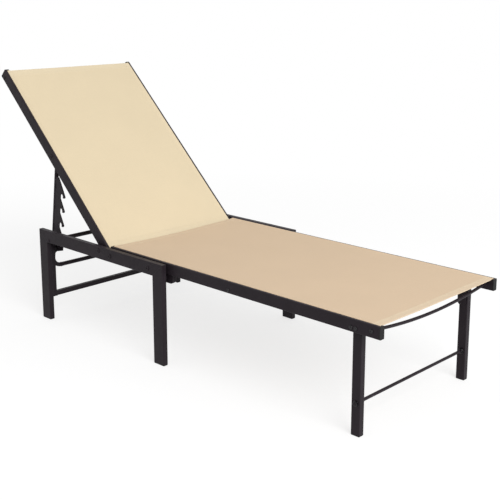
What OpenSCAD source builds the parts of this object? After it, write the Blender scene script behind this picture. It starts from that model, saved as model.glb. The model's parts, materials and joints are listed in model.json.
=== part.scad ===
// Sun lounger with a sling seat, a reclining sling back and a hooked ratchet prop.
// Millimetres, +Z up, +X towards the foot end; the origin is on the ground, mid-length and mid-width.

/* [Seat] */
// How far the tops of the seat rails stand above the side frames
seat_rise = 1; // [-4:0.5:8]
// Length of the seat rails without their end caps
seat_rail_len = 1157.4; // [1000:0.1:1300]
// How far the sling sags at mid-width
sling_sag = 5; // [2:0.5:12]
// Thickness of the sling cloth
sling_t = 1.5; // [1:0.1:2]
// Distance from the rear end of the seat rails to the rear crossbar
rear_bar_in = 48; // [46:1:70]
// Distance from the rear end of the seat rails to the middle crossbar
middle_bar_in = 584; // [400:1:700]

/* [Sling rails] */
// Width of the extruded rails
rail_w = 19; // [18:0.5:24]
// Height of the extruded rails
rail_h = 38; // [36:0.5:45]
// Wall of the extruded rails
rail_wall = 1.6; // [1.2:0.1:2]
// Corner radius of the extruded rails
rail_r = 2.5; // [1.8:0.1:4]
// Diameter of the channel that holds the sling's edge cord
channel_d = 7.8; // [7.6:0.1:9]
// Width of the slot above the channel
slot_w = 3.2; // [2.8:0.1:4]
// How much lower the inner lip of the rail is than the outer one
lip_drop = 2; // [1.8:0.1:3]
// Diameter of the edge cord
cord_d = 4; // [3:0.1:4.4]
// Thickness of the rails' end caps
cap_t = 3; // [2:0.5:5]

/* [Back] */
// Angle of the back above level in the highest notch
back_angle = 43.85; // [38:0.05:50]
// Distance from the hinge to the top end of the back rails
back_rail_up = 842; // [760:1:900]
// Distance from the hinge to the lower end of the back rails
back_rail_down = 16.5; // [14:0.5:22]
// Height of the hinge above the middle of the seat rails
hinge_rise = 3; // [-2:0.5:4]
// Distance from the seat rails' rear end back to the hinge
hinge_setback = 39.3; // [36:0.1:60]
// Diameter of the hinge bolts
hinge_d = 8; // [6:0.5:8]
// Distance from the hinge to the lower crossbar
low_bar_up = 37; // [30:1:60]
// Distance from the top end of the back rails to the top crossbar
top_bar_in = 14; // [12:1:60]

/* [Side frames] */
// Width over the two side frames
overall_width = 664; // [600:1:760]
// Height of the side frames
side_h = 350; // [330:1:420]
// Length of the side frames
side_len = 710; // [640:1:760]
// Distance from the seat rails' rear end to the front face of the middle legs
middle_leg_in = 304; // [280:1:340]
// Width of the side legs along the lounger
side_leg_w = 50; // [40:1:60]
// Height of the side frames' top tube
side_top_h = 45; // [42:1:50]
// Thickness of the side frame tubes
side_t = 19; // [16:0.5:24]
// Wall of the side frame tubes
side_wall = 1.5; // [1.2:0.1:2]
// Gap between a side frame and a sling rail
side_gap = 9; // [8:0.5:12]
// Distance from the seat rails' rear end to the rear frame bolts
rear_bolt_in = 25; // [15:1:30]
// Distance from the middle legs' front face back to the front frame bolts
front_bolt_in = 75; // [60:1:120]

/* [Front legs] */
// Width of the front legs along the lounger
front_leg_w = 30; // [25:1:36]
// Thickness of the front legs
front_leg_t = 21; // [18:0.5:24]
// Distance from the rails' foot end to the front face of the front legs
front_leg_in = 72.4; // [60:0.1:120]
// Height of the rod between the front legs
front_rod_z = 98; // [60:1:160]
// Diameter of the rod between the front legs and of the foot bar
rod_d = 9.5; // [8:0.5:12]
// Distance from the rails' foot end to the foot bar
foot_bar_in = 26.4; // [18:0.1:40]
// How far the foot bar bows down in the middle
foot_bar_sag = 20.5; // [10:0.5:30]

/* [Rear brace] */
// Height of the stretcher's centre above the ground
stretcher_z = 91; // [60:1:140]
// Side of the square stretcher
stretcher_w = 18; // [16:0.5:20]
// Width of the uprights along the lounger
upright_w = 20; // [18:0.5:24]
// Depth of the uprights across the lounger
upright_d = 26; // [22:0.5:27]

/* [Prop and ratchet] */
// Distance from the hinge up the back to the prop's pivot
prop_up = 428.4; // [400:0.1:450]
// Diameter of the prop's tube
prop_d = 16; // [14:0.5:16]
// Wall of the prop's tube
prop_wall = 1.5; // [1.2:0.1:2]
// Distance from the prop's pivot to the middle of its cross bar
prop_len = 447; // [430:1:470]
// Radius of the prop's lower corners
prop_bend = 38; // [30:1:50]
// Gap between the prop and a back rail
prop_gap = 2; // [1.5:0.1:3]
// Diameter of the ratchet bar
bar_d = 16; // [14:0.5:18]
// Distance from the hinge back to the ratchet bar
bar_back = 307.5; // [300:0.1:312]
// How far the ratchet bar is below the hinge
bar_drop = 23.5; // [21:0.1:24]
// Distance of the ratchet bar in front of the prop's axis
bar_front = 46.4; // [42:0.1:52]
// Number of notches
notches = 4; // [3:1:4]
// Distance from notch to notch
notch_pitch = 56.5; // [54:0.1:60]
// Clearance round the ratchet bar in its notch
notch_gap = 0.3; // [0.3:0.1:0.6]
// How far the tip of a tooth hangs below the middle of its notch
tooth_hang = 5; // [2:0.5:8]
// Radius of a tooth's round tip
tooth_r = 6; // [4:0.5:7]
// Angle between a tooth's outer edge and the prop
tooth_angle = 34.4; // [28:0.2:40]
// Thickness of the ratchet plates
plate_t = 4; // [3:0.5:4]
// Width of the ratchet plates at their top end
plate_top_w = 16; // [12:0.5:20]

/* [Fasteners] */
// Diameter of the frame bolts
bolt_d = 8; // [6:0.5:8]
// Diameter of the leg and bracket bolts
leg_bolt_d = 6; // [5:0.5:6]
// Diameter of the crossbar screws
screw_d = 5; // [4:0.5:5]
// Clearance of a hole round its bolt, on the diameter
hole_gap = 0.3; // [0.2:0.05:0.4]

/* [Hidden] */
$fn = 64;

// Colours
frame_colour = [0.20, 0.19, 0.20];
back_cloth_colour = [0.90, 0.84, 0.71];
seat_cloth_colour = [0.85, 0.76, 0.64];
plastic_colour = [0.13, 0.13, 0.14];
steel_colour = [0.45, 0.45, 0.46];

// Small clearances and overlaps
eps = 0.01;
fit = 0.2;
run_gap = 0.3;
hinge_gap = 0.08;

// Places across the lounger, on the far side of the middle
y_frame_out = overall_width / 2;
y_frame_in = y_frame_out - side_t;
y_rail_out = y_frame_in - side_gap;
y_rail_in = y_rail_out - rail_w;
y_rail_mid = (y_rail_out + y_rail_in) / 2;
y_prop = y_rail_in - prop_gap - prop_d / 2;
y_plate_out = y_prop + prop_d / 2 - 1;
y_front_leg_in = y_rail_in - front_leg_t;

// Places along the lounger
hinge_to_foot = hinge_setback + seat_rail_len + cap_t;
back_reach = (back_rail_up + cap_t - rail_r) * cos(back_angle)
    + (rail_h / 2 - rail_r) * sin(back_angle) + rail_r;
foot_x = (hinge_to_foot + back_reach) / 2;
hinge_x = foot_x - hinge_to_foot;
rail_front_x = foot_x - cap_t;
rail_rear_x = rail_front_x - seat_rail_len;
middle_leg_x = rail_rear_x + middle_leg_in;
side_rear_x = middle_leg_x - side_len;
upright_x = side_rear_x + side_leg_w / 2 - 1;
front_leg_x = rail_front_x - front_leg_in;
front_leg_mid_x = front_leg_x - front_leg_w / 2;

// Heights
rail_z = side_h + seat_rise - rail_h / 2;
hinge_z = rail_z + hinge_rise;
foot_t = 4;
saddle_drop = 30;
crossbar_w = 20;
crossbar_z = -rail_h / 2 + 1 + crossbar_w / 2;
low_bar_z = -rail_h / 2 - 2 + crossbar_w / 2;

// The sling rail's profile, measured from its centre
lip_z = rail_h / 2 - lip_drop;
channel_z = lip_z - rail_wall - channel_d / 2;
cavity_top = channel_z - channel_d / 2 - rail_wall;
cavity_bottom = -rail_h / 2 + rail_wall;
cavity_mid = (cavity_top + cavity_bottom) / 2;
cavity_r = 0.6;
sling_low = lip_z + fit;
sling_high = sling_low + sling_t;
hem_out_r = channel_d / 2 - run_gap;
hem_in_r = cord_d / 2 + fit;

// The ratchet bar, the prop and its lean
bar_x = hinge_x - bar_back;
bar_z = hinge_z - bar_drop;
pivot_x = hinge_x - prop_up * cos(back_angle);
pivot_z = hinge_z + prop_up * sin(back_angle);
bar_reach = norm([bar_x - pivot_x, bar_z - pivot_z]);
bar_along = sqrt(bar_reach * bar_reach - bar_front * bar_front);
prop_lean = atan2(bar_front, bar_along) - atan2(bar_x - pivot_x, pivot_z - bar_z);
notch_r = bar_d / 2 + notch_gap;
plate_front = bar_front - notch_r;
plate_back = prop_d / 2 - 1;
tip_x = bar_front + notch_r + tooth_r;

// Sets out children on the far side, or mirrored on the near side
module on_side(far) {
    if (far) children();
    else mirror([0, 1, 0]) children();
}

// Sets out children on both sides
module both_sides() {
    for (far = [false, true]) on_side(far) children();
}

// The back's own frame: its hinge is the origin and its rails run along -X
module in_back() {
    translate([hinge_x, 0, hinge_z]) rotate([0, back_angle, 0]) children();
}

// The prop's own frame: its pivot is the origin, its legs run along -Z and its teeth face +X
module in_prop() {
    translate([pivot_x, 0, pivot_z]) rotate([0, prop_lean, 0]) children();
}

// A rectangle centred on the origin with round corners
module round_rect(w, h, r) {
    square([w - 2 * r, h], center = true);
    square([w, h - 2 * r], center = true);
    for (x = [-1, 1], y = [-1, 1]) translate([x * (w / 2 - r), y * (h / 2 - r)]) circle(r);
}

// A hollow rectangle with round corners
module tube_2d(w, h, wall, r) {
    difference() {
        round_rect(w, h, r);
        round_rect(w - 2 * wall, h - 2 * wall, max(r - wall, 0.5));
    }
}

// A cylinder along Y from y1 to y2
module rod_y(y1, y2, d) {
    translate([0, y2, 0]) rotate([90, 0, 0]) cylinder(d = d, h = y2 - y1);
}

// Extrudes a profile along +X: the profile's X lies along +Y and its Y along +Z
module along_x(length) {
    rotate([90, 0, 90]) linear_extrude(length) children();
}

// A low domed bolt head that stands out of the face y = 0 towards +Y
module dome_head(d, h) {
    rotate([-90, 0, 0]) rotate_extrude() difference() {
        union() {
            square([d / 2 - h / 2, h]);
            square([d / 2, h / 2]);
            translate([d / 2 - h / 2, h / 2]) circle(h / 2);
        }
        translate([-d, -d / 2]) square([d, 2 * d]);
        translate([-eps, h / 3]) square([d / 6, h]);
    }
}

// A bolt with its head on the face y_head, its shank running inwards to y_tip
module bolt(y_head, y_tip, d, head_d, head_h) {
    translate([0, y_head, 0]) dome_head(head_d, head_h);
    rod_y(y_tip, y_head, d);
}

// A ring round a bolt from y1 to y2
module ring_y(y1, y2, d_out, d_in) {
    difference() {
        rod_y(y1, y2, d_out);
        rod_y(y1 - 1, y2 + 1, d_in);
    }
}

// Nut with a six-sided outline, along Y
module nut(y1, y2, bore_d) {
    difference() {
        translate([0, y2, 0]) rotate([90, 0, 0]) cylinder(d = bore_d * 1.9, h = y2 - y1, $fn = 6);
        rod_y(y1 - 1, y2 + 1, bore_d + fit);
    }
}

// Side frames: mitred tubes

// The outline of one mitred side frame tube, seen from the side
module mitre_outline(part) {
    top_y = side_h;
    low_y = side_h - side_top_h;
    if (part == "rear")
        polygon([[0, foot_t], [side_leg_w, foot_t], [side_leg_w, low_y], [0, top_y]]);
    if (part == "middle")
        polygon([[side_len - side_leg_w, foot_t], [side_len, foot_t], [side_len, top_y],
            [side_len - side_leg_w, low_y]]);
    if (part == "top")
        polygon([[0, top_y], [side_leg_w, low_y], [side_len - side_leg_w, low_y], [side_len, top_y]]);
}

// Cuts children, given in place, to one tube's mitred outline
module mitred(part) {
    intersection() {
        children();
        translate([side_rear_x, y_frame_out + 1, 0]) rotate([90, 0, 0])
            linear_extrude(side_t + 2) mitre_outline(part);
    }
}

// A side leg's tube whose rear face is at x
module side_leg_tube(x) {
    translate([x + side_leg_w / 2, y_frame_out - side_t / 2, foot_t])
        linear_extrude(side_h - foot_t) tube_2d(side_leg_w, side_t, side_wall, 2);
}

upright_bolt_in = 29;
upright_bolt_zs = [stretcher_z + upright_bolt_in, side_h - side_top_h - upright_bolt_in];
head_low = 2.5;
frame_bolt_xs = [rail_rear_x + rear_bolt_in, middle_leg_x - front_bolt_in];
frame_bolt_z = rail_z + cavity_mid;

// The holes right through a side frame: the frame bolts', the hinge's and the ratchet bar's
module frame_holes() {
    for (x = frame_bolt_xs) translate([x, 0, frame_bolt_z])
        rod_y(y_frame_in - 1, y_frame_out + 1, bolt_d + hole_gap);
    translate([hinge_x, 0, hinge_z]) rod_y(y_frame_in - 1, y_frame_out + 1, hinge_d + hole_gap);
    translate([bar_x, 0, bar_z]) rod_y(y_frame_in - 1, y_frame_out + 1, bolt_d + hole_gap);
}

module side_rear_leg(far) {
    color(frame_colour) on_side(far) difference() {
        mitred("rear") side_leg_tube(side_rear_x);
        for (z = upright_bolt_zs) translate([upright_x, 0, z])
            rod_y(y_frame_in - 1, y_frame_in + side_wall + 1, leg_bolt_d + hole_gap);
        frame_holes();
    }
}

saddle_x = middle_leg_x - side_leg_w / 2;
saddle_bolt_z = rail_z - rail_h / 2 - saddle_drop / 2;

module side_middle_leg(far) {
    color(frame_colour) on_side(far) difference() {
        mitred("middle") side_leg_tube(middle_leg_x - side_leg_w);
        translate([saddle_x, 0, saddle_bolt_z])
            rod_y(y_frame_in - 1, y_frame_in + side_wall + 1, leg_bolt_d + hole_gap);
        frame_holes();
    }
}

module side_top_rail(far) {
    color(frame_colour) on_side(far) difference() {
        mitred("top") translate([side_rear_x, y_frame_out - side_t / 2, side_h - side_top_h / 2])
            along_x(side_len) tube_2d(side_t, side_top_h, side_wall, 2);
        frame_holes();
    }
}

// A foot for a tube of w by t: a pad under it with ribs up into the tube
module tube_foot(w, t, wall) {
    plug_h = 18;
    translate([0, 0, foot_t / 2]) linear_extrude(foot_t / 2) round_rect(w, t, 2);
    linear_extrude(foot_t / 2) round_rect(w - 1.5, t - 1.5, 1.5);
    translate([0, 0, foot_t]) linear_extrude(plug_h)
        tube_2d(w - 2 * wall - 2 * fit, t - 2 * wall - 2 * fit, 2, 1);
}

module side_feet() {
    color(plastic_colour) both_sides()
        for (x = [side_rear_x, middle_leg_x - side_leg_w])
            translate([x + side_leg_w / 2, y_frame_out - side_t / 2, 0])
                tube_foot(side_leg_w, side_t, side_wall);
}

// Sling rails and what closes them

// Section of a sling rail; +X is outboard
module sling_rail_2d() {
    difference() {
        round_rect(rail_w, rail_h, rail_r);
        translate([-rail_w, lip_z]) square([rail_w + slot_w / 2, rail_h]);
        translate([0, channel_z]) circle(d = channel_d);
        translate([-slot_w / 2, channel_z]) square([slot_w, rail_h]);
        translate([0, cavity_mid])
            round_rect(rail_w - 2 * rail_wall, cavity_top - cavity_bottom, cavity_r);
    }
}

// A plain crossbar's section with a screw port in the middle
module crossbar_2d() {
    port_r = screw_d / 2 + 1.6;
    difference() {
        union() {
            tube_2d(crossbar_w, crossbar_w, 1.5, 2);
            circle(port_r);
            square([crossbar_w - 2, 1.4], center = true);
            square([1.4, crossbar_w - 2], center = true);
        }
        circle(d = screw_d + hole_gap);
    }
}

// A crossbar between two rails at x, z
module crossbar(x, z) {
    translate([x, y_rail_in, z]) rotate([90, 0, 0]) linear_extrude(2 * y_rail_in) crossbar_2d();
}

// The end cap of a sling rail: a plate with a plug in the rail's lower cavity; its plug runs along -X
module rail_cap() {
    plug_w = rail_w - 2 * rail_wall - 2 * fit;
    plug_h = cavity_top - cavity_bottom - 2 * fit;
    plug_in = 8;
    along_x(cap_t) round_rect(rail_w, rail_h, rail_r);
    translate([-plug_in, 0, cavity_mid]) along_x(plug_in + eps)
        difference() {
            round_rect(plug_w, plug_h, 1);
            round_rect(plug_w - 4, plug_h - 4, 0.8);
        }
}

// Section of the sling: a sagging sheet whose edges turn down round the edge cords
module sling_2d() {
    steps = 12;
    half = y_rail_in;
    function sag(y) = sling_sag * (1 - (y / half) * (y / half));
    ys = [for (i = [-steps:steps]) half * i / steps];
    edge = y_rail_mid + sling_t / 2;
    hem_z = channel_z + (hem_in_r + hem_out_r) / 2;
    polygon(concat(
        [[-edge, hem_z], [-edge, sling_high]], [for (y = ys) [y, sling_high - sag(y)]],
        [[edge, sling_high], [edge, hem_z], [edge - sling_t, hem_z], [edge - sling_t, sling_low]],
        [for (i = [2 * steps:-1:0]) [ys[i], sling_low - sag(ys[i])]],
        [[sling_t - edge, sling_low], [sling_t - edge, hem_z]]));
    for (side = [-1, 1]) translate([side * y_rail_mid, channel_z]) difference() {
        circle(hem_out_r);
        circle(hem_in_r);
    }
}

crossbar_xs = [rail_rear_x + rear_bar_in, rail_rear_x + middle_bar_in];
foot_bar_x = rail_front_x - foot_bar_in;
leg_bolt_xs = [front_leg_mid_x - 8, front_leg_mid_x + 8];
leg_bolt_z = rail_z - 6;

module seat_rail(far) {
    color(frame_colour) on_side(far) difference() {
        translate([rail_rear_x, y_rail_mid, rail_z]) along_x(seat_rail_len) sling_rail_2d();
        for (x = frame_bolt_xs) translate([x, 0, frame_bolt_z])
            rod_y(y_rail_mid, y_rail_out + 1, bolt_d + hole_gap);
        for (x = crossbar_xs) translate([x, 0, rail_z + crossbar_z])
            rod_y(y_rail_in - 1, y_rail_out + 1, screw_d + hole_gap);
        for (x = leg_bolt_xs) translate([x, 0, leg_bolt_z])
            rod_y(y_rail_in - 1, y_rail_out + 1, leg_bolt_d + hole_gap);
        translate([foot_bar_x, 0, rail_z]) rod_y(y_rail_in - 1, y_rail_out + 1, leg_bolt_d + hole_gap);
    }
}

module seat_rear_crossbar() {
    color(frame_colour) crossbar(crossbar_xs[0], rail_z + crossbar_z);
}

module seat_middle_crossbar() {
    color(frame_colour) crossbar(crossbar_xs[1], rail_z + crossbar_z);
}

screw_reach = 20;

module seat_crossbar_screws() {
    color(steel_colour) both_sides() for (x = crossbar_xs) translate([x, 0, rail_z + crossbar_z])
        bolt(y_rail_out, y_rail_in - screw_reach, screw_d, 2 * screw_d, head_low);
}

module seat_rail_caps() {
    color(plastic_colour) both_sides() {
        translate([rail_front_x, y_rail_mid, rail_z]) rail_cap();
        translate([rail_rear_x, y_rail_mid, rail_z]) mirror([1, 0, 0]) rail_cap();
    }
}

sling_in = 3;

module seat_sling() {
    color(seat_cloth_colour) translate([rail_rear_x + sling_in, 0, rail_z])
        along_x(seat_rail_len - 2 * sling_in) sling_2d();
}

cord_in = 4;

module seat_splines() {
    color(plastic_colour) both_sides() translate([rail_rear_x + cord_in, y_rail_mid, rail_z + channel_z])
        along_x(seat_rail_len - 2 * cord_in) circle(d = cord_d);
}

// A rod that bows down between two flanges on the rails
module foot_bar() {
    half = y_rail_in;
    bow_r = (half * half + foot_bar_sag * foot_bar_sag) / (2 * foot_bar_sag);
    spread = asin(half / bow_r) + 1;
    flange_d = 17;
    flange_t = 3;
    color(frame_colour) {
        intersection() {
            translate([foot_bar_x, 0, rail_z + bow_r - foot_bar_sag]) rotate([0, 90, 0])
                rotate([0, 0, -spread]) rotate_extrude(angle = 2 * spread, $fn = 720)
                    translate([bow_r, 0]) circle(d = rod_d, $fn = 32);
            translate([foot_bar_x - rod_d, -half, rail_z - rail_h])
                cube([2 * rod_d, 2 * half, 2 * rail_h]);
        }
        both_sides() translate([foot_bar_x, 0, rail_z]) rod_y(half - flange_t, half, flange_d);
    }
}

module foot_bar_bolts() {
    color(steel_colour) both_sides() translate([foot_bar_x, 0, rail_z])
        bolt(y_rail_out, y_rail_in, leg_bolt_d, 2 * leg_bolt_d, head_low);
}

// Front legs
front_leg_top = rail_z + cavity_top;
bracket_t = 3;
bracket_back = 5;
bracket_drop = 76;
bracket_z = leg_bolt_z - bracket_drop;
nut_h = 5;

module front_leg(far) {
    color(frame_colour) on_side(far) difference() {
        translate([front_leg_mid_x, y_rail_in - front_leg_t / 2, foot_t])
            linear_extrude(front_leg_top - foot_t) tube_2d(front_leg_w, front_leg_t, side_wall, 2);
        for (x = leg_bolt_xs) translate([x, 0, leg_bolt_z])
            rod_y(y_front_leg_in - 1, y_rail_in + 1, leg_bolt_d + hole_gap);
        translate([front_leg_mid_x, 0, front_rod_z])
            rod_y(y_front_leg_in - 1, y_rail_in + 1, rod_d + hole_gap);
    }
}

// A stiffening plate on the inner face of each front leg, with a round lower end behind the leg
module front_leg_brackets() {
    w = front_leg_w;
    x0 = front_leg_mid_x - w / 2 - bracket_back;
    color(frame_colour) both_sides() difference() {
        translate([0, y_front_leg_in, 0]) rotate([90, 0, 0]) linear_extrude(bracket_t) {
            translate([x0 + w / 2, bracket_z + w / 2]) circle(d = w);
            translate([x0, bracket_z + w / 2]) square([w, leg_bolt_z - bracket_z - w / 2]);
            translate([x0, leg_bolt_z - w / 3]) square([w + bracket_back, w / 3 + 8]);
        }
        for (x = leg_bolt_xs) translate([x, 0, leg_bolt_z])
            rod_y(y_front_leg_in - bracket_t - 1, y_front_leg_in + 1, leg_bolt_d + hole_gap);
    }
}

module front_leg_bolts() {
    y_nut = y_front_leg_in - bracket_t;
    color(steel_colour) both_sides() for (x = leg_bolt_xs) translate([x, 0, leg_bolt_z]) {
        bolt(y_rail_out, y_nut - nut_h - 2, leg_bolt_d, 2 * leg_bolt_d, head_low);
        nut(y_nut - nut_h, y_nut, leg_bolt_d);
    }
}

module front_leg_rod() {
    color(frame_colour) translate([front_leg_mid_x, 0, front_rod_z])
        rod_y(-y_rail_in - nut_h, y_rail_in + nut_h, rod_d);
}

// A flanged nut on each side of each front leg's wall
module front_rod_nuts() {
    washer_d = 20;
    washer_t = 2;
    color(steel_colour) both_sides() translate([front_leg_mid_x, 0, front_rod_z]) {
        ring_y(y_front_leg_in - washer_t, y_front_leg_in, washer_d, rod_d + fit);
        nut(y_front_leg_in - washer_t - nut_h, y_front_leg_in - washer_t, rod_d);
        ring_y(y_rail_in, y_rail_in + nut_h - 1, rod_d * 1.7, rod_d + fit);
    }
}

module front_feet() {
    color(plastic_colour) both_sides() translate([front_leg_mid_x, y_rail_in - front_leg_t / 2, 0])
        tube_foot(front_leg_w, front_leg_t, side_wall);
}

// Rear brace

module rear_stretcher() {
    length = 2 * (y_frame_in - upright_d);
    color(frame_colour) translate([upright_x, length / 2, stretcher_z]) rotate([90, 0, 0])
        linear_extrude(length) tube_2d(stretcher_w, stretcher_w, side_wall, 2);
}

module rear_uprights() {
    z1 = stretcher_z - stretcher_w / 2;
    z2 = side_h - side_top_h;
    color(frame_colour) both_sides() difference() {
        translate([upright_x, y_frame_in - upright_d / 2, z1])
            linear_extrude(z2 - z1) tube_2d(upright_w, upright_d, side_wall, 2);
        for (z = upright_bolt_zs) translate([upright_x, 0, z])
            rod_y(y_frame_in - upright_d - 1, y_frame_in + 1, leg_bolt_d + hole_gap);
    }
}

// Bolts from the inside through the uprights into nuts inside the legs
module brace_bolts() {
    y_head = y_frame_in - upright_d;
    y_nut = y_frame_in + side_wall;
    color(steel_colour) both_sides() for (z = upright_bolt_zs) translate([upright_x, 0, z]) {
        translate([0, y_head, 0]) rotate([180, 0, 0]) dome_head(2 * leg_bolt_d, head_low);
        rod_y(y_head, y_nut + nut_h + 1, leg_bolt_d);
        nut(y_nut, y_nut + nut_h, leg_bolt_d);
    }
}

bar_bolt_in = 28;
small_head = 1.6;

module ratchet_bar() {
    color(frame_colour) translate([bar_x, 0, bar_z]) difference() {
        rod_y(-y_frame_in, y_frame_in, bar_d);
        both_sides() rod_y(y_frame_in - bar_bolt_in - 2, y_frame_in + 1, bolt_d + hole_gap);
    }
}

module ratchet_bar_bolts() {
    color(frame_colour) both_sides() translate([bar_x, 0, bar_z])
        bolt(y_frame_out, y_frame_in - bar_bolt_in, bolt_d, small_head * bolt_d, head_low);
}

// Saddles under the seat rails at the middle legs
saddle_t = 11;
saddle_y = y_rail_out - 4;
saddle_front = 17;

module saddle_brackets() {
    r = 12;
    pad_d = 22;
    x0 = middle_leg_x - side_leg_w;
    x1 = middle_leg_x + saddle_front;
    z0 = rail_z - rail_h / 2 - saddle_drop;
    color(frame_colour) both_sides() difference() {
        union() {
            translate([0, saddle_y, 0]) rotate([90, 0, 0]) linear_extrude(saddle_t) {
                translate([x0, z0]) square([x1 - x0 - r, saddle_drop]);
                translate([x0, z0 + r]) square([x1 - x0, saddle_drop - r]);
                translate([x1 - r, z0 + r]) circle(r);
            }
            translate([saddle_x, 0, saddle_bolt_z]) rod_y(saddle_y - 1, y_frame_in, pad_d);
        }
        translate([saddle_x, 0, saddle_bolt_z])
            rod_y(saddle_y - saddle_t - 1, y_frame_in + 1, leg_bolt_d + hole_gap);
    }
}

module saddle_bolts() {
    y_head = saddle_y - saddle_t;
    y_nut = y_frame_in + side_wall;
    color(steel_colour) both_sides() translate([saddle_x, 0, saddle_bolt_z]) {
        translate([0, y_head, 0]) rotate([180, 0, 0]) dome_head(2 * leg_bolt_d, head_low);
        rod_y(y_head, y_nut + nut_h + 1, leg_bolt_d);
        nut(y_nut, y_nut + nut_h, leg_bolt_d);
    }
}

spacer_d = 20;

module frame_spacers() {
    color(plastic_colour) both_sides() for (x = frame_bolt_xs) translate([x, 0, frame_bolt_z])
        ring_y(y_rail_out, y_frame_in, spacer_d, bolt_d + hole_gap);
}

// Bolts through the side frames and spacers into nuts inside the seat rails
module frame_bolts() {
    y_nut = y_rail_out - rail_wall;
    color(frame_colour) both_sides() for (x = frame_bolt_xs) translate([x, 0, frame_bolt_z]) {
        bolt(y_frame_out, y_nut - nut_h - 1, bolt_d, 2 * bolt_d, head_low);
        nut(y_nut - nut_h, y_nut, bolt_d);
    }
}

lock_nut_h = 6;

module hinge_bolts() {
    color(frame_colour) both_sides() translate([hinge_x, 0, hinge_z])
        bolt(y_frame_out, y_rail_in - run_gap - lock_nut_h - 1, hinge_d, 2 * hinge_d, head_low);
}

module hinge_nuts() {
    color(steel_colour) both_sides() translate([hinge_x, 0, hinge_z])
        nut(y_rail_in - run_gap - lock_nut_h, y_rail_in - run_gap, hinge_d);
}

module hinge_spacers() {
    color(plastic_colour) both_sides() translate([hinge_x, 0, hinge_z])
        ring_y(y_rail_out + run_gap, y_frame_in, spacer_d, hinge_d + hole_gap);
}

// Back, in its own frame
hinge_bore = hinge_d + 2 * hinge_gap;
top_bar_x = -back_rail_up + top_bar_in;

module back_rail(far) {
    color(frame_colour) in_back() on_side(far) difference() {
        translate([-back_rail_up, y_rail_mid, 0]) along_x(back_rail_up + back_rail_down) sling_rail_2d();
        rod_y(y_rail_in - 1, y_rail_out + 1, hinge_bore);
        translate([-prop_up, 0, 0]) rod_y(y_rail_in - 1, y_rail_out + 1, bolt_d + hole_gap);
        translate([top_bar_x, 0, crossbar_z]) rod_y(y_rail_in - 1, y_rail_out + 1, screw_d + hole_gap);
        translate([-low_bar_up, 0, low_bar_z]) rod_y(y_rail_in - 1, y_rail_out + 1, screw_d + hole_gap);
    }
}

module back_top_crossbar() {
    color(frame_colour) in_back() crossbar(top_bar_x, crossbar_z);
}

module back_lower_crossbar() {
    color(frame_colour) in_back() crossbar(-low_bar_up, low_bar_z);
}

module back_crossbar_screws() {
    color(steel_colour) in_back() both_sides()
        for (p = [[top_bar_x, crossbar_z], [-low_bar_up, low_bar_z]]) translate([p[0], 0, p[1]])
            bolt(y_rail_out, y_rail_in - screw_reach, screw_d, 2 * screw_d, head_low);
}

module back_rail_caps() {
    color(plastic_colour) in_back() both_sides() {
        translate([back_rail_down, y_rail_mid, 0]) rail_cap();
        translate([-back_rail_up, y_rail_mid, 0]) mirror([1, 0, 0]) rail_cap();
    }
}

module back_sling() {
    color(back_cloth_colour) in_back() translate([-back_rail_up + sling_in, 0, 0])
        along_x(back_rail_up + back_rail_down - 2 * sling_in) sling_2d();
}

module back_splines() {
    color(plastic_colour) in_back() both_sides()
        translate([-back_rail_up + cord_in, y_rail_mid, channel_z])
            along_x(back_rail_up + back_rail_down - 2 * cord_in) circle(d = cord_d);
}

// Sleeves that carry the hinge bolts between the walls of the back rails
module hinge_bushes() {
    half = rail_w / 2 - rail_wall;
    bush_d = 2 * (min(cavity_top, -cavity_bottom) - cavity_r);
    color(plastic_colour) in_back() both_sides()
        ring_y(y_rail_mid - half, y_rail_mid + half, bush_d, hinge_bore);
}

module prop_pivot_bolts() {
    color(frame_colour) in_back() both_sides() translate([-prop_up, 0, 0])
        bolt(y_rail_out, y_rail_in, bolt_d, 2 * bolt_d, head_low);
}

// Prop, in its own frame
boss_d = 22;
boss_half = prop_d / 2 + run_gap;

// The tube of one prop leg with its lower corner, d across, from z = top downwards
module prop_tube(d, top) {
    straight = prop_len - prop_bend;
    translate([0, 0, -straight]) cylinder(d = d, h = straight + top);
    translate([0, -prop_bend, -straight]) rotate([0, 90, 0]) rotate_extrude(angle = 90)
        translate([prop_bend, 0]) circle(d = d);
}

module prop_leg(far) {
    color(frame_colour) in_prop() on_side(far) translate([0, y_prop, 0]) difference() {
        union() {
            prop_tube(prop_d, -boss_d / 3);
            rod_y(-boss_half, boss_half, boss_d);
        }
        prop_tube(prop_d - 2 * prop_wall, -boss_d / 2);
        translate([0, 0, -prop_len]) rod_y(-prop_bend - 1, -prop_bend, prop_d - 2 * prop_wall);
        rod_y(-boss_half - 1, boss_half + 1, bolt_d + hole_gap);
    }
}

module prop_cross_bar() {
    half = y_prop - prop_bend;
    color(frame_colour) in_prop() translate([0, 0, -prop_len])
        ring_y(-half, half, prop_d, prop_d - 2 * prop_wall);
}

// One tooth of a ratchet plate; its notch is at Y = 0 and the tip's round end hangs below it
module tooth_2d() {
    tip_y = tooth_hang - tooth_r;
    touch = [tip_x + tooth_r * cos(tooth_angle), tip_y - tooth_r * sin(tooth_angle)];
    top_x = plate_back + plate_top_w;
    top_y = touch.y - (touch.x - top_x) / tan(tooth_angle);
    polygon([[plate_back, top_y], [top_x, top_y], touch, [tip_x, tooth_hang], [plate_back, tooth_hang]]);
    translate([tip_x, tip_y]) circle(tooth_r);
}

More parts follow.
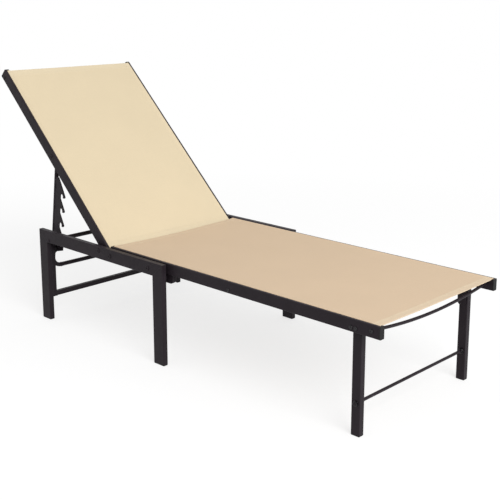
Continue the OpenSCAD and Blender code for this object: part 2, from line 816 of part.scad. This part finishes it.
// Outline of a ratchet plate: X towards its teeth, Y down the prop
module ratchet_2d() {
    heel_top = 24;
    heel_front = 42;
    heel_knee = 58;
    heel_end = 82;
    heel_in = 19;
    difference() {
        union() {
            for (i = [0:notches - 1]) translate([0, bar_along - i * notch_pitch]) tooth_2d();
            translate([plate_back, bar_along - (notches - 1) * notch_pitch])
                square([plate_front - plate_back, (notches - 1) * notch_pitch + heel_top]);
            translate([0, bar_along]) polygon([[plate_back, 0], [plate_front, 0], [plate_front, heel_top],
                [tip_x + tooth_r, heel_top], [tip_x + tooth_r, heel_front], [bar_front - heel_in, heel_knee],
                [plate_back, heel_end]]);
        }
        for (i = [0:notches - 1]) translate([bar_front, bar_along - i * notch_pitch]) {
            circle(notch_r);
            translate([-notch_r, 0]) square([2 * notch_r, tooth_hang + eps]);
        }
    }
}

module ratchet_plate(far) {
    color(frame_colour) in_prop() on_side(far) difference() {
        translate([0, y_plate_out, 0]) rotate([90, 0, 0]) linear_extrude(plate_t)
            mirror([0, 1]) ratchet_2d();
        translate([0, y_prop, -prop_len]) cylinder(d = prop_d, h = prop_len);
    }
}

module prop_pivot_nuts() {
    y_face = y_prop - boss_half;
    color(steel_colour) in_prop() both_sides() nut(y_face - lock_nut_h, y_face, bolt_d);
}

side_rear_leg(false);  // side_rear_leg_near
side_rear_leg(true);  // side_rear_leg_far
side_middle_leg(false);  // side_middle_leg_near
side_middle_leg(true);  // side_middle_leg_far
side_top_rail(false);  // side_top_rail_near
side_top_rail(true);  // side_top_rail_far
side_feet();
seat_rail(false);  // seat_rail_near
seat_rail(true);  // seat_rail_far
seat_rear_crossbar();
seat_middle_crossbar();
seat_crossbar_screws();
seat_rail_caps();
seat_sling();
seat_splines();
foot_bar();
foot_bar_bolts();
front_leg(false);  // front_leg_near
front_leg(true);  // front_leg_far
front_leg_brackets();
front_leg_bolts();
front_leg_rod();
front_rod_nuts();
front_feet();
rear_stretcher();
rear_uprights();
brace_bolts();
ratchet_bar();
ratchet_bar_bolts();
saddle_brackets();
saddle_bolts();
frame_spacers();
frame_bolts();
hinge_bolts();
hinge_nuts();
hinge_spacers();
back_rail(false);  // back_rail_near
back_rail(true);  // back_rail_far
back_top_crossbar();
back_lower_crossbar();
back_crossbar_screws();
back_rail_caps();
back_sling();
back_splines();
hinge_bushes();
prop_pivot_bolts();
prop_leg(false);  // prop_leg_near
prop_leg(true);  // prop_leg_far
prop_cross_bar();
ratchet_plate(false);  // ratchet_plate_near
ratchet_plate(true);  // ratchet_plate_far
prop_pivot_nuts();
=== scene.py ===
import json
import math
import random

import bpy
import bmesh
from mathutils import Matrix, Vector


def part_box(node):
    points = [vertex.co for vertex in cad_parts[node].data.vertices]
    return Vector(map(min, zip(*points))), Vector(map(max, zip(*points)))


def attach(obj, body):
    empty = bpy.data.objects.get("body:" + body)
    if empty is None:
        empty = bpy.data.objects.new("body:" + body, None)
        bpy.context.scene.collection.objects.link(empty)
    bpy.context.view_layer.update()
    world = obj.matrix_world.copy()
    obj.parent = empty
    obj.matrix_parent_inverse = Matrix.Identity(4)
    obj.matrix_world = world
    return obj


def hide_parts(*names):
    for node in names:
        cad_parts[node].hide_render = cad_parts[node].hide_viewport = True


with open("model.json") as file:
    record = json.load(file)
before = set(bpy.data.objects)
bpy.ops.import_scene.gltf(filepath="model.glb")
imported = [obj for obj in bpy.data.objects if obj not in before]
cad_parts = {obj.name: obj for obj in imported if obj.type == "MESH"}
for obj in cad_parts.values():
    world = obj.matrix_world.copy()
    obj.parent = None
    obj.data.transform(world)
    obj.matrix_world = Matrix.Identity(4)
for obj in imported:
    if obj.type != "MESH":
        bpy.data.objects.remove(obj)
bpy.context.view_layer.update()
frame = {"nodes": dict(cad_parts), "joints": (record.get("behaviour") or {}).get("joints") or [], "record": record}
random.seed(11)

MM = 0.001

# Sizes that the part has too
BACK_ANGLE = math.radians(43.85)
RAIL_W = 19 * MM
SLING_T = 1.5 * MM
SLING_SAG = 5 * MM
SLING_TOP = 18.7 * MM
BACK_SLING_ENDS = (-839 * MM, 13.5 * MM)
PROP_UP = 428.4 * MM
PROP_LEAN = math.radians(8.07)
PROP_D = 16 * MM
PROP_LEN = 447 * MM
PROP_BEND = 38 * MM
PROP_Y = 275 * MM

# The cloth's own sizes: the turn into a rail's slot, the ridge over it, the hems and their stitches,
# and how far from a tight end the full sag begins
SLING_BEND = 2 * MM
SLOT_TURN = 4 * MM
RIDGE_RISE = 2 * MM
RIDGE_W = 13 * MM
HEM_W = 28 * MM
HEM_RISE_ABOVE = 0.12 * MM
HEM_RISE_BELOW = 0.9 * MM
YARN_PITCH = 1.15 * MM
STITCH_ROWS = (20.5 * MM, 24.5 * MM)
STITCH_PITCH = 3.6 * MM
STITCH_LEN = 2.9 * MM
STITCH_R = 0.36 * MM
TAUT_LEN = 160 * MM

# For a sling's low and high end: how far it bows in, its share of the sag, and how much paler its hem is painted,
# with less painted shade than the rest of the cloth
SEAT_BOWS = (0, 6 * MM)
SEAT_SAGS = (1.0, 1.0)
# The seat's rear hem lies in shade, so it is painted no paler
SEAT_HEM_PAINTED_LIGHT = (0.0, 0.25)
BACK_BOWS = (0, 0)
BACK_SAGS = (0.1, 1.0)
BACK_HEM_PAINTED_LIGHT = (0.15, 0.0)

# The photograph's camera, fitted to the frame's straight edges
CAMERA_AT = Vector((2.2913, -2.2259, 1.2154))
CAMERA_YAW = math.radians(44.108)
CAMERA_PITCH = math.radians(11.862)
CAMERA_LENS = 66.91
CAMERA_SHIFT_Y = -0.12

# The lamp: a round soft box, its direction in degrees from +X and from the floor
KEY_TURN = math.radians(-18)
KEY_RISE = math.radians(30)
KEY_DISTANCE = 7.0
KEY_SIZE = 4.6
KEY_POWER = 350
KEY_TARGET = Vector((0, 0, 0.35))

# The world's level on the object, and the floor: its colour, its glow in view and where it turns white
WORLD_LEVEL = 0.50
FLOOR_SIZE = 60
FLOOR_Z = -0.5 * MM
FLOOR_ALBEDO = 0.34
FLOOR_LIFT = 0.73
FLOOR_NEAR = 1.6
FLOOR_FAR = 3.2

# Colours, in linear light
CHARCOAL = (0.0205, 0.0150, 0.0194)
CHARCOAL_WORN = (0.056, 0.049, 0.054)
BLACK = (0.013, 0.0125, 0.013)
BLACK_ZINC = (0.045, 0.043, 0.046)
SAND_BACK = (0.83, 0.70, 0.485)
# The seat's sand with painted shade: the back's cloth made darker and pinker for the shade under the seat seen
# through its mesh
SAND_SEAT_SHADED = (0.80, 0.614, 0.428)
# Sand for the hems' two layers, paler with less painted shade showing through
SAND_HEM_UNSHADED = (0.90, 0.80, 0.60)
THREAD = (0.78, 0.68, 0.50)

hinge = Vector(frame["joints"][0]["pos_m"])
seat_low, seat_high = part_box("seat_rail_near")
rail_mid_y = -(seat_low.y + seat_high.y) / 2
rail_inner_y = rail_mid_y - RAIL_W / 2
SEAT_FRAME = Matrix.Translation((0, 0, (seat_low.z + seat_high.z) / 2))
BACK_FRAME = Matrix.Translation(hinge) @ Matrix.Rotation(BACK_ANGLE, 4, "Y")
PROP_FRAME = Matrix.Translation(BACK_FRAME @ Vector((-PROP_UP, 0, 0))) @ Matrix.Rotation(PROP_LEAN, 4, "Y")


# The places of a colour Mix node's colour sockets
MIX_A, MIX_B, MIX_RESULT = 6, 7, 2


def shade(color, by):
    return tuple(min(1.0, c * by) for c in color)


# Camera, light and stage

def make_camera():
    data = bpy.data.cameras.new("photo_camera")
    data.lens = CAMERA_LENS
    data.shift_y = CAMERA_SHIFT_Y
    data.clip_start = 0.05
    data.clip_end = 100
    camera = bpy.data.objects.new("photo_camera", data)
    bpy.context.scene.collection.objects.link(camera)
    camera.location = CAMERA_AT
    camera.rotation_euler = (math.pi / 2 - CAMERA_PITCH, 0, CAMERA_YAW)
    bpy.context.scene.camera = camera


def make_lamp():
    level = math.cos(KEY_RISE)
    way = Vector((level * math.cos(KEY_TURN), level * math.sin(KEY_TURN), math.sin(KEY_RISE)))
    data = bpy.data.lights.new("key", "AREA")
    data.shape = "DISK"
    data.size = KEY_SIZE
    data.energy = KEY_POWER
    lamp = bpy.data.objects.new("key", data)
    bpy.context.scene.collection.objects.link(lamp)
    lamp.location = KEY_TARGET + way * KEY_DISTANCE
    lamp.rotation_euler = (-way).to_track_quat("-Z", "Y").to_euler()


def seen_directly(tree):
    """1 for what the camera, a reflection or a clear material sees, and 0 for the light on the object."""
    paths = tree.nodes.new("ShaderNodeLightPath")
    level = paths.outputs["Is Camera Ray"]
    for other in ("Is Glossy Ray", "Is Transmission Ray"):
        both = tree.nodes.new("ShaderNodeMath")
        both.operation = "MAXIMUM"
        tree.links.new(level, both.inputs[0])
        tree.links.new(paths.outputs[other], both.inputs[1])
        level = both.outputs[0]
    return level


def make_world():
    world = bpy.data.worlds.new("studio")
    bpy.context.scene.world = world
    world.use_nodes = True
    tree = world.node_tree
    background = tree.nodes["Background"]
    background.inputs["Color"].default_value = (1, 1, 1, 1)
    level = tree.nodes.new("ShaderNodeMapRange")
    level.inputs["To Min"].default_value = WORLD_LEVEL
    level.inputs["To Max"].default_value = 1.0
    tree.links.new(seen_directly(tree), level.inputs["Value"])
    tree.links.new(level.outputs["Result"], background.inputs["Strength"])


def make_floor():
    """A pale floor that takes the shadow near the lounger and turns white further off."""
    bpy.ops.mesh.primitive_plane_add(size=FLOOR_SIZE, location=(0, 0, FLOOR_Z))
    floor = bpy.context.object
    floor.name = "studio_floor"
    m = Nodes("studio_floor", (FLOOR_ALBEDO,) * 3, 0.9)
    m.set("Specular IOR Level", 0.1)
    seen = seen_directly(m.tree)
    m.set("Emission Color", (1, 1, 1, 1))
    m.set("Emission Strength", m.math("MULTIPLY", seen, FLOOR_LIFT))
    white = m.add("ShaderNodeEmission")
    away = m.add("ShaderNodeVectorMath", operation="LENGTH")
    m.join(m.place, away.inputs[0])
    far = m.ramp(away.outputs["Value"], FLOOR_NEAR, FLOOR_FAR, 0.0, 1.0)
    blend = m.add("ShaderNodeMixShader")
    m.join(m.math("MULTIPLY", far, seen), blend.inputs[0])
    m.join(m.shader.outputs[0], blend.inputs[1])
    m.join(white.outputs[0], blend.inputs[2])
    m.join(blend.outputs[0], m.tree.nodes["Material Output"].inputs["Surface"])
    floor.data.materials.append(m.material)


# Materials

class Nodes:
    """A material's node tree with short ways to add and join nodes."""

    def __init__(self, name, color, roughness):
        self.material = bpy.data.materials.new(name)
        self.material.use_nodes = True
        self.tree = self.material.node_tree
        self.shader = self.tree.nodes["Principled BSDF"]
        self.shader.inputs["Base Color"].default_value = (*color, 1)
        self.shader.inputs["Roughness"].default_value = roughness
        self.place = self.add("ShaderNodeTexCoord").outputs["Object"]

    def add(self, kind, **values):
        node = self.tree.nodes.new(kind)
        for key, value in values.items():
            setattr(node, key, value)
        return node

    def join(self, a, b):
        self.tree.links.new(a, b)

    def noise(self, scale, detail=3.0, roughness=0.5, stretch=None):
        node = self.add("ShaderNodeTexNoise")
        node.inputs["Scale"].default_value = scale
        node.inputs["Detail"].default_value = detail
        node.inputs["Roughness"].default_value = roughness
        source = self.place
        if stretch:
            mapping = self.add("ShaderNodeMapping")
            mapping.inputs["Scale"].default_value = stretch
            self.join(source, mapping.inputs["Vector"])
            source = mapping.outputs["Vector"]
        self.join(source, node.inputs["Vector"])
        return node.outputs["Fac"]

    def ramp(self, value, low, high, out_low, out_high):
        node = self.add("ShaderNodeMapRange")
        node.inputs["From Min"].default_value = low
        node.inputs["From Max"].default_value = high
        node.inputs["To Min"].default_value = out_low
        node.inputs["To Max"].default_value = out_high
        self.join(value, node.inputs["Value"])
        return node.outputs["Result"]

    def math(self, operation, a, b=0.0):
        node = self.add("ShaderNodeMath", operation=operation)
        for value, socket in ((a, node.inputs[0]), (b, node.inputs[1])):
            if isinstance(value, (int, float)):
                socket.default_value = value
            else:
                self.join(value, socket)
        return node.outputs[0]

    def mix(self, factor, a, b):
        node = self.add("ShaderNodeMix", data_type="RGBA")
        if isinstance(factor, (int, float)):
            node.inputs["Factor"].default_value = factor
        else:
            self.join(factor, node.inputs["Factor"])
        for value, socket in ((a, node.inputs[MIX_A]), (b, node.inputs[MIX_B])):
            if isinstance(value, tuple):
                socket.default_value = (*value, 1)
            else:
                self.join(value, socket)
        return node.outputs[MIX_RESULT]

    def bump(self, height, distance, strength=1.0, normal=None):
        node = self.add("ShaderNodeBump")
        node.inputs["Distance"].default_value = distance
        node.inputs["Strength"].default_value = strength
        self.join(height, node.inputs["Height"])
        if normal is not None:
            self.join(normal, node.inputs["Normal"])
        return node.outputs["Normal"]

    def edge(self, radius):
        """The normal as if edges were rounded, and 0 on flat places to 1 on edges."""
        bevel = self.add("ShaderNodeBevel", samples=4)
        bevel.inputs["Radius"].default_value = radius
        geometry = self.add("ShaderNodeNewGeometry")
        dot = self.add("ShaderNodeVectorMath", operation="DOT_PRODUCT")
        self.join(bevel.outputs["Normal"], dot.inputs[0])
        self.join(geometry.outputs["Normal"], dot.inputs[1])
        return bevel.outputs["Normal"], self.ramp(dot.outputs["Value"], 0.999, 0.90, 0.0, 1.0)

    def set(self, name, value):
        if isinstance(value, (int, float, tuple)):
            self.shader.inputs[name].default_value = value
        else:
            self.join(value, self.shader.inputs[name])


def powder_coat(name, color, worn):
    """Fine textured powder coat, with soft clouds, a speckle and paler, smoother edges."""
    m = Nodes(name, color, 0.5)
    m.set("Specular IOR Level", 0.15)
    rounded, near_edge = m.edge(1.0 * MM)
    cloud = m.noise(14, 4, 0.6)
    speck = m.noise(900, 2, 0.7)
    dust = m.noise(60, 5, 0.65)
    base = m.mix(m.ramp(cloud, 0.35, 0.7, 0.0, 1.0), shade(color, 0.86), shade(color, 1.16))
    base = m.mix(m.ramp(speck, 0.55, 0.75, 0.0, 0.35), base, shade(color, 1.9))
    wear = m.math("MULTIPLY", near_edge, m.ramp(dust, 0.35, 0.7, 0.15, 0.75))
    m.set("Base Color", m.mix(wear, base, worn))
    smooth = m.math("ADD", dust, m.math("MULTIPLY", near_edge, -0.3))
    m.set("Roughness", m.ramp(smooth, 0.2, 0.8, 0.40, 0.58))
    m.set("Normal", m.bump(speck, 0.12 * MM, 0.6, rounded))
    return m.material


def moulded_plastic(name, color):
    """Black plastic with a fine grain, slightly paler on its edges."""
    m = Nodes(name, color, 0.5)
    m.set("Specular IOR Level", 0.2)
    rounded, near_edge = m.edge(0.7 * MM)
    grain = m.noise(1500, 2, 0.6)
    patch = m.noise(45, 4, 0.6)
    base = m.mix(patch, shade(color, 0.8), shade(color, 1.35))
    m.set("Base Color", m.mix(m.math("MULTIPLY", near_edge, 0.5), base, shade(color, 2.8)))
    m.set("Roughness", m.ramp(patch, 0.3, 0.7, 0.48, 0.66))
    m.set("Normal", m.bump(grain, 0.08 * MM, 0.5, rounded))
    return m.material


def bolt_steel(name, color):
    """Zinc-plated steel with drawn streaks, stains and bright edges."""
    m = Nodes(name, color, 0.35)
    m.set("Metallic", 1.0)
    rounded, near_edge = m.edge(0.4 * MM)
    streak = m.noise(220, 4, 0.6, (1, 6, 1))
    stain = m.noise(90, 5, 0.7)
    base = m.mix(m.ramp(stain, 0.4, 0.75, 0.0, 1.0), color, shade(color, 0.6))
    m.set("Base Color", m.mix(near_edge, base, shade(color, 3.0)))
    m.set("Roughness", m.ramp(streak, 0.3, 0.7, 0.28, 0.5))
    m.set("Normal", m.bump(streak, 0.05 * MM, 0.4, rounded))
    return m.material


def mesh_cloth(name, color, ends, bows, hems):
    """Coated polyester mesh: warp yarns, weft between them and tiny open cells, which are painted dark as painted
    shade for what shows through them.

    Fewer of these painted dark cells would show through the two layers of a hem, so it is painted paler."""
    m = Nodes(name, color, 0.62)
    split = m.add("ShaderNodeSeparateXYZ")
    m.join(m.place, split.inputs[0])
    along, across = split.outputs["X"], split.outputs["Y"]
    wave = []
    for line, pitch in ((along, YARN_PITCH), (across, YARN_PITCH * 0.8)):
        wave.append(m.math("SINE", m.math("MULTIPLY", line, 2 * math.pi / pitch)))
    weft = m.ramp(wave[0], -1, 1, 0.0, 1.0)
    warp = m.ramp(wave[1], -1, 1, 0.0, 1.0)
    open_cell_shade = m.ramp(m.math("ADD", weft, warp), 0.0, 0.55, 1.0, 0.0)
    over = m.math("MULTIPLY", wave[0], wave[1])
    slub = m.math("ADD", m.noise(1, 3, 0.6, (12, 700, 1)), m.noise(1, 3, 0.6, (700, 12, 1)))
    outward = m.math("POWER", m.math("DIVIDE", across, rail_mid_y), 2)
    low_edge = m.math("SUBTRACT", ends[0] + bows[0], m.math("MULTIPLY", outward, bows[0]))
    high_edge = m.math("ADD", ends[1] - bows[1], m.math("MULTIPLY", outward, bows[1]))
    from_low = m.math("SUBTRACT", along, low_edge)
    from_high = m.math("SUBTRACT", high_edge, along)
    hem = []
    for way_in, paler in ((from_low, hems[0]), (from_high, hems[1])):
        hem.append(m.ramp(way_in, HEM_W - 1 * MM, HEM_W + 1 * MM, paler, 0.0))
    base = m.mix(m.ramp(m.noise(5, 4, 0.55), 0.3, 0.7, 0.0, 1.0), shade(color, 0.97), color)
    base = m.mix(m.ramp(slub, 0.8, 1.25, 0.0, 0.22), base, shade(color, 0.86))
    # Painted shade: the open cells darkened for the shade seen through them
    base = m.mix(m.math("MULTIPLY", open_cell_shade, 0.32), base, shade(color, 0.62))
    # Painted light: the hems paler, as less of the painted shade would show through their two layers
    base = m.mix(m.math("ADD", hem[0], hem[1]), base, SAND_HEM_UNSHADED)
    m.set("Base Color", base)
    m.set("Roughness", m.ramp(over, -1, 1, 0.62, 0.80))
    m.set("Sheen Weight", 0.04)
    m.set("Sheen Roughness", 0.4)
    m.set("Specular IOR Level", 0.12)
    height = m.math("ADD", m.math("MAXIMUM", weft, warp), m.math("MULTIPLY", over, 0.35))
    m.set("Normal", m.bump(height, 0.22 * MM, 0.35))
    return m.material


def sewing_thread(name, color):
    """Matt thread, mottled by its twist."""
    m = Nodes(name, color, 0.55)
    twist = m.noise(1600, 2, 0.6)
    m.set("Base Color", m.mix(twist, shade(color, 0.8), shade(color, 1.12)))
    m.set("Roughness", m.ramp(twist, 0.3, 0.7, 0.45, 0.65))
    m.set("Normal", m.bump(twist, 0.05 * MM, 0.5))
    return m.material


# Pieces

def piece(name, verts, faces, material, matrix, body, slot):
    """A smooth piece with its points in a local frame, which matrix places. It rides on body."""
    mesh = bpy.data.meshes.new(name)
    mesh.from_pydata(verts, [], faces)
    mesh.materials.append(material)
    mesh.polygons.foreach_set("use_smooth", [True] * len(mesh.polygons))
    made = bmesh.new()
    made.from_mesh(mesh)
    bmesh.ops.recalc_face_normals(made, faces=made.faces)
    made.to_mesh(mesh)
    made.free()
    obj = bpy.data.objects.new(name, mesh)
    bpy.context.scene.collection.objects.link(obj)
    obj.matrix_world = matrix
    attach(obj, body)
    return obj


def smooth(share):
    """Eases from 0 to 1."""
    t = min(1.0, max(0.0, share))
    return t * t * (3 - 2 * t)


class Sling:
    """A sheet stretched between two rails, with hemmed ends that can bow in or be stretched tight.

    A place on it is s along it from its low end and y across it. Heights are above the rails' middle."""

    def __init__(self, ends, bows, sags):
        self.low, self.high = ends
        self.length = self.high - self.low
        self.bows = bows
        self.sags = sags

    def x(self, s, y):
        share = s / self.length
        pull = self.bows[0] * (1 - share) - self.bows[1] * share
        return self.low + s + pull * (1 - (y / rail_mid_y) ** 2)

    def ripple(self, s, y):
        """Slight unevenness of the stretched cloth, fading out at the rails."""
        u, v = s / self.length, y / rail_mid_y
        fade = max(0.0, 1 - v ** 6) * 0.9 + 0.1
        slow = math.sin(5.1 * u + 2.2 * v + 0.7) * math.sin(3.3 * v - 4.7 * u + 0.4)
        pull = math.sin(23 * u + 0.9) * (abs(v) ** 2.5) * 0.35
        return (0.55 * slow + pull) * MM * fade

    def sag(self, s):
        """Sag halfway between the rails, less where an end is stretched tight."""
        low, high = (1 - smooth(d / TAUT_LEN) for d in (s, self.length - s))
        return SLING_SAG * (1 - (1 - self.sags[0]) * low - (1 - self.sags[1]) * high)

    def height(self, s, y):
        """Middle of the sheet: low between the rails and in a ridge over their slots."""
        sag = max(0.0, self.sag(s) * (1 - (y / rail_inner_y) ** 2))
        ridge = 1 - smooth((rail_mid_y - SLING_BEND - abs(y)) / RIDGE_W)
        return SLING_TOP - SLING_T / 2 - sag + RIDGE_RISE * ridge

    def path(self, s):
        """Middle line of the sheet across the lounger: (y, z)."""
        bend_y = rail_mid_y - SLING_BEND
        bend_z = self.height(s, bend_y) - SLING_BEND
        bend_steps, ridge_steps, middle_steps = 6, 8, 42
        side = [(rail_mid_y, bend_z - SLOT_TURN * share) for share in (1.0, 0.6, 0.2)]
        for i in range(bend_steps):
            a = math.pi / 2 * i / bend_steps
            side.append((bend_y + SLING_BEND * math.cos(a), bend_z + SLING_BEND * math.sin(a)))
        for i in range(ridge_steps):
            y = bend_y - RIDGE_W * i / ridge_steps
            side.append((y, self.height(s, y)))
        flat_y = bend_y - RIDGE_W
        ys = [flat_y * (1 - 2 * i / middle_steps) for i in range(middle_steps + 1)]
        return side + [(y, self.height(s, y)) for y in ys] + [(-y, z) for y, z in reversed(side)]

    def stations(self):
        """Places along the sheet, close together at its ends and where the hems' second layer ends."""
        fine = [d * MM for d in (0, 0.4, 1.2, 2.5, 5, 9, 14, 19, 23, 26, 27.4, 28.2, 29.4, 32)]
        count = 60
        step = (self.length - 2 * fine[-1]) / count
        middle = [fine[-1] + step * i for i in range(1, count)]
        return fine + middle + [self.length - d for d in reversed(fine)]

    def mesh(self):
        """Both faces of the sheet, with rolled ends and a hem of two layers at each end."""
        hem_step, roll_r = 1.4 * MM, 1.3 * MM
        verts, rings = [], []
        for s in self.stations():
            path = self.path(s)
            normals = []
            for i in range(len(path)):
                a, b = path[max(i - 1, 0)], path[min(i + 1, len(path) - 1)]
                d = Vector((b[0] - a[0], b[1] - a[1])).normalized()
                normals.append((-d.y, d.x))
            from_end = min(s, self.length - s)
            hem = 1 - min(1, max(0, (from_end - HEM_W + 1 * MM) / hem_step))
            roll = 1 - min(1, from_end / roll_r)
            nip = math.sqrt(max(0.0, 1 - roll * roll))
            faces_of_ring = []
            for side, rise in ((-1, HEM_RISE_ABOVE), (1, HEM_RISE_BELOW)):
                row = []
                for (y, z), (ny, nz) in zip(path, normals):
                    free = abs(y) < rail_inner_y - 1 * MM
                    off = side * nip * (SLING_T / 2 + (rise * hem if free else 0))
                    lift = self.ripple(s, y) if free else 0
                    row.append(len(verts))
                    verts.append((self.x(s, y), y + ny * off, z + nz * off + lift))
                faces_of_ring.append(row)
            above, below = faces_of_ring
            rings.append(above + below[::-1])
        n = len(rings[0])
        faces = []
        for a, b in zip(rings, rings[1:]):
            faces += [(a[i], a[(i + 1) % n], b[(i + 1) % n], b[i]) for i in range(n)]
        for ring in (rings[0], rings[-1]):
            faces += [(ring[i], ring[i + 1], ring[n - 2 - i], ring[n - 1 - i]) for i in range(n // 2 - 1)]
        return verts, faces

    def stitches(self):
        """Single stitches across both faces of both hems."""
        reach = rail_inner_y - 3 * MM
        verts, faces = [], []
        for row in STITCH_ROWS:
            for s in (row, self.length - row):
                for off in (SLING_T / 2 + 0.24 * MM, -SLING_T / 2 - HEM_RISE_BELOW - 0.1 * MM):
                    for k in range(int(2 * reach / STITCH_PITCH)):
                        y = -reach + STITCH_PITCH * (k + 0.5)
                        at = (self.x(s, y), y, self.height(s, y) + self.ripple(s, y) + off)
                        add_stitch(verts, faces, at, 2 * self.sag(s) * y / rail_inner_y ** 2)
        return verts, faces


def add_stitch(verts, faces, at, slope):
    """Adds a six-sided stitch across the sheet, thinner at its ends."""
    sides = 6
    sections = ((-0.5, 0.3), (-0.36, 0.9), (0.36, 0.9), (0.5, 0.3))
    base = len(verts)
    for share, thickness in sections:
        way, r = share * STITCH_LEN, STITCH_R * thickness
        for i in range(sides):
            a = 2 * math.pi * i / sides
            verts.append((at[0] + math.cos(a) * r, at[1] + way, at[2] + slope * way + math.sin(a) * r * 0.8))
    for ring in range(len(sections) - 1):
        k = base + ring * sides
        for i in range(sides):
            j = (i + 1) % sides
            faces.append((k + i, k + j, k + j + sides, k + i + sides))
    last = base + (len(sections) - 1) * sides
    faces.append(tuple(base + i for i in reversed(range(sides))))
    faces.append(tuple(last + i for i in range(sides)))


def make_sling(name, node, ends, bows, sags, hems, matrix, body, slot, color):
    sling = Sling(ends, bows, sags)
    cloth = mesh_cloth(name + "_mesh", color, ends, bows, hems)
    obj = piece(name, *sling.mesh(), cloth, matrix, body, slot)
    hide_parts(node)
    seams = piece(name + "_stitching", *sling.stitches(), thread, matrix, body, slot)


def weld_bead(name, lines, radius, body, matrix=None):
    """Rows of overlapping drops of weld along lines, each a list of points."""
    verts, faces = [], []
    for points in lines:
        points = [Vector(p) for p in points]
        for a, b in zip(points, points[1:]):
            drops = max(2, round((b - a).length / (radius * 0.9)))
            for k in range(drops + 1):
                add_drop(verts, faces, a.lerp(b, k / drops), radius * (0.9 + 0.2 * random.random()))
    return piece(name, verts, faces, paint, matrix or Matrix.Identity(4), body, "frame_paint")


def add_drop(verts, faces, at, r):
    """Adds a ball of weld with few sides."""
    sides, rings = 8, 3
    base = len(verts)
    verts.append(at - Vector((0, 0, r)))
    for ring in range(rings):
        a = math.pi * (ring + 1) / (rings + 1)
        for i in range(sides):
            b = 2 * math.pi * i / sides
            way = Vector((math.sin(a) * math.cos(b), math.sin(a) * math.sin(b), -math.cos(a)))
            verts.append(at + way * r)
    verts.append(at + Vector((0, 0, r)))
    last = len(verts) - 1
    for i in range(sides):
        j = (i + 1) % sides
        faces.append((base, base + 1 + j, base + 1 + i))
        for ring in range(rings - 1):
            k = base + 1 + ring * sides
            faces.append((k + i, k + j, k + sides + j, k + sides + i))
        faces.append((last, last - sides + i, last - sides + j))


def weld_stretcher():
    """All round both ends of the stretcher, on the uprights."""
    low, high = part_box("rear_stretcher")
    corners = ((low.x, low.z), (high.x, low.z), (high.x, high.z), (low.x, high.z), (low.x, low.z))
    for end, y in (("near", low.y), ("far", high.y)):
        weld_bead("stretcher_weld_" + end, [[(x, y, z) for x, z in corners]], 1.5 * MM, "root")


def weld_mitres():
    """Across the inner corner of each mitre of the side frames."""
    r = 1.6 * MM
    for end in ("near", "far"):
        low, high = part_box("side_top_rail_" + end)
        rear_leg_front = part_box("side_rear_leg_" + end)[1].x
        middle_leg_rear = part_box("side_middle_leg_" + end)[0].x
        y1, y2 = low.y + 2 * r, high.y - 2 * r
        lines = [[(x, y1, low.z), (x, y2, low.z)] for x in (rear_leg_front, middle_leg_rear)]
        weld_bead("mitre_weld_" + end, lines, r, "root")


def weld_ratchets():
    """Short welds between the prop tubes and both faces of their ratchet plates."""
    r = 1.4 * MM
    welds, weld_len = 4, 22 * MM
    to_prop = PROP_FRAME.inverted()
    for end, side in (("near", -1), ("far", 1)):
        plate = [to_prop @ v.co for v in frame["nodes"]["ratchet_plate_" + end].data.vertices]
        top, bottom = max(p.z for p in plate), min(p.z for p in plate)
        step = (top - bottom) / welds
        lines = []
        for face, outward in ((min(abs(p.y) for p in plate), -1), (max(abs(p.y) for p in plate), 1)):
            x = math.sqrt((PROP_D / 2) ** 2 - (face - PROP_Y) ** 2) + r / 2
            y = side * (face + outward * r / 2)
            for k in range(welds):
                z = bottom + step * (k + 0.5)
                lines.append([(x, y, z - weld_len / 2), (x, y, z + weld_len / 2)])
        weld_bead("ratchet_weld_" + end, lines, r, "prop", PROP_FRAME)


def weld_prop():
    """All round the joints between the prop's cross bar and its two legs."""
    steps, r = 20, PROP_D / 2
    for end, side in (("near", -1), ("far", 1)):
        y = side * (PROP_Y - PROP_BEND)
        turns = [2 * math.pi * i / steps for i in range(steps + 1)]
        ring = [(r * math.cos(a), y, r * math.sin(a) - PROP_LEN) for a in turns]
        weld_bead("prop_weld_" + end, [ring], 1.2 * MM, "prop", PROP_FRAME)


make_camera()
bpy.context.scene.view_settings.view_transform = "Standard"
make_world()
make_lamp()
make_floor()

paint = powder_coat("charcoal_powder_coat", CHARCOAL, CHARCOAL_WORN)
plastic = moulded_plastic("black_moulded_plastic", BLACK)
steel = bolt_steel("black_zinc_steel", BLACK_ZINC)
thread = sewing_thread("sand_thread", THREAD)

# The two cloth slots belong to the plain solids that the slings replace
OF_SLOT = {"frame_paint": paint, "black_plastic": plastic, "bolt_steel": steel,
           "seat_cloth": thread, "back_cloth": thread}
for part in frame["record"]["subparts"]:
    mesh = frame["nodes"][part["node"]].data
    mesh.materials.clear()
    mesh.materials.append(OF_SLOT[part["material_slot"]])

seat_sling_ends = tuple(corner.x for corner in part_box("seat_sling"))
make_sling("seat_sling_cloth", "seat_sling", seat_sling_ends, SEAT_BOWS, SEAT_SAGS, SEAT_HEM_PAINTED_LIGHT,
           SEAT_FRAME, "root", "seat_cloth", SAND_SEAT_SHADED)
make_sling("back_sling_cloth", "back_sling", BACK_SLING_ENDS, BACK_BOWS, BACK_SAGS, BACK_HEM_PAINTED_LIGHT,
           BACK_FRAME, "back", "back_cloth", SAND_BACK)
weld_stretcher()
weld_mitres()
weld_ratchets()
weld_prop()
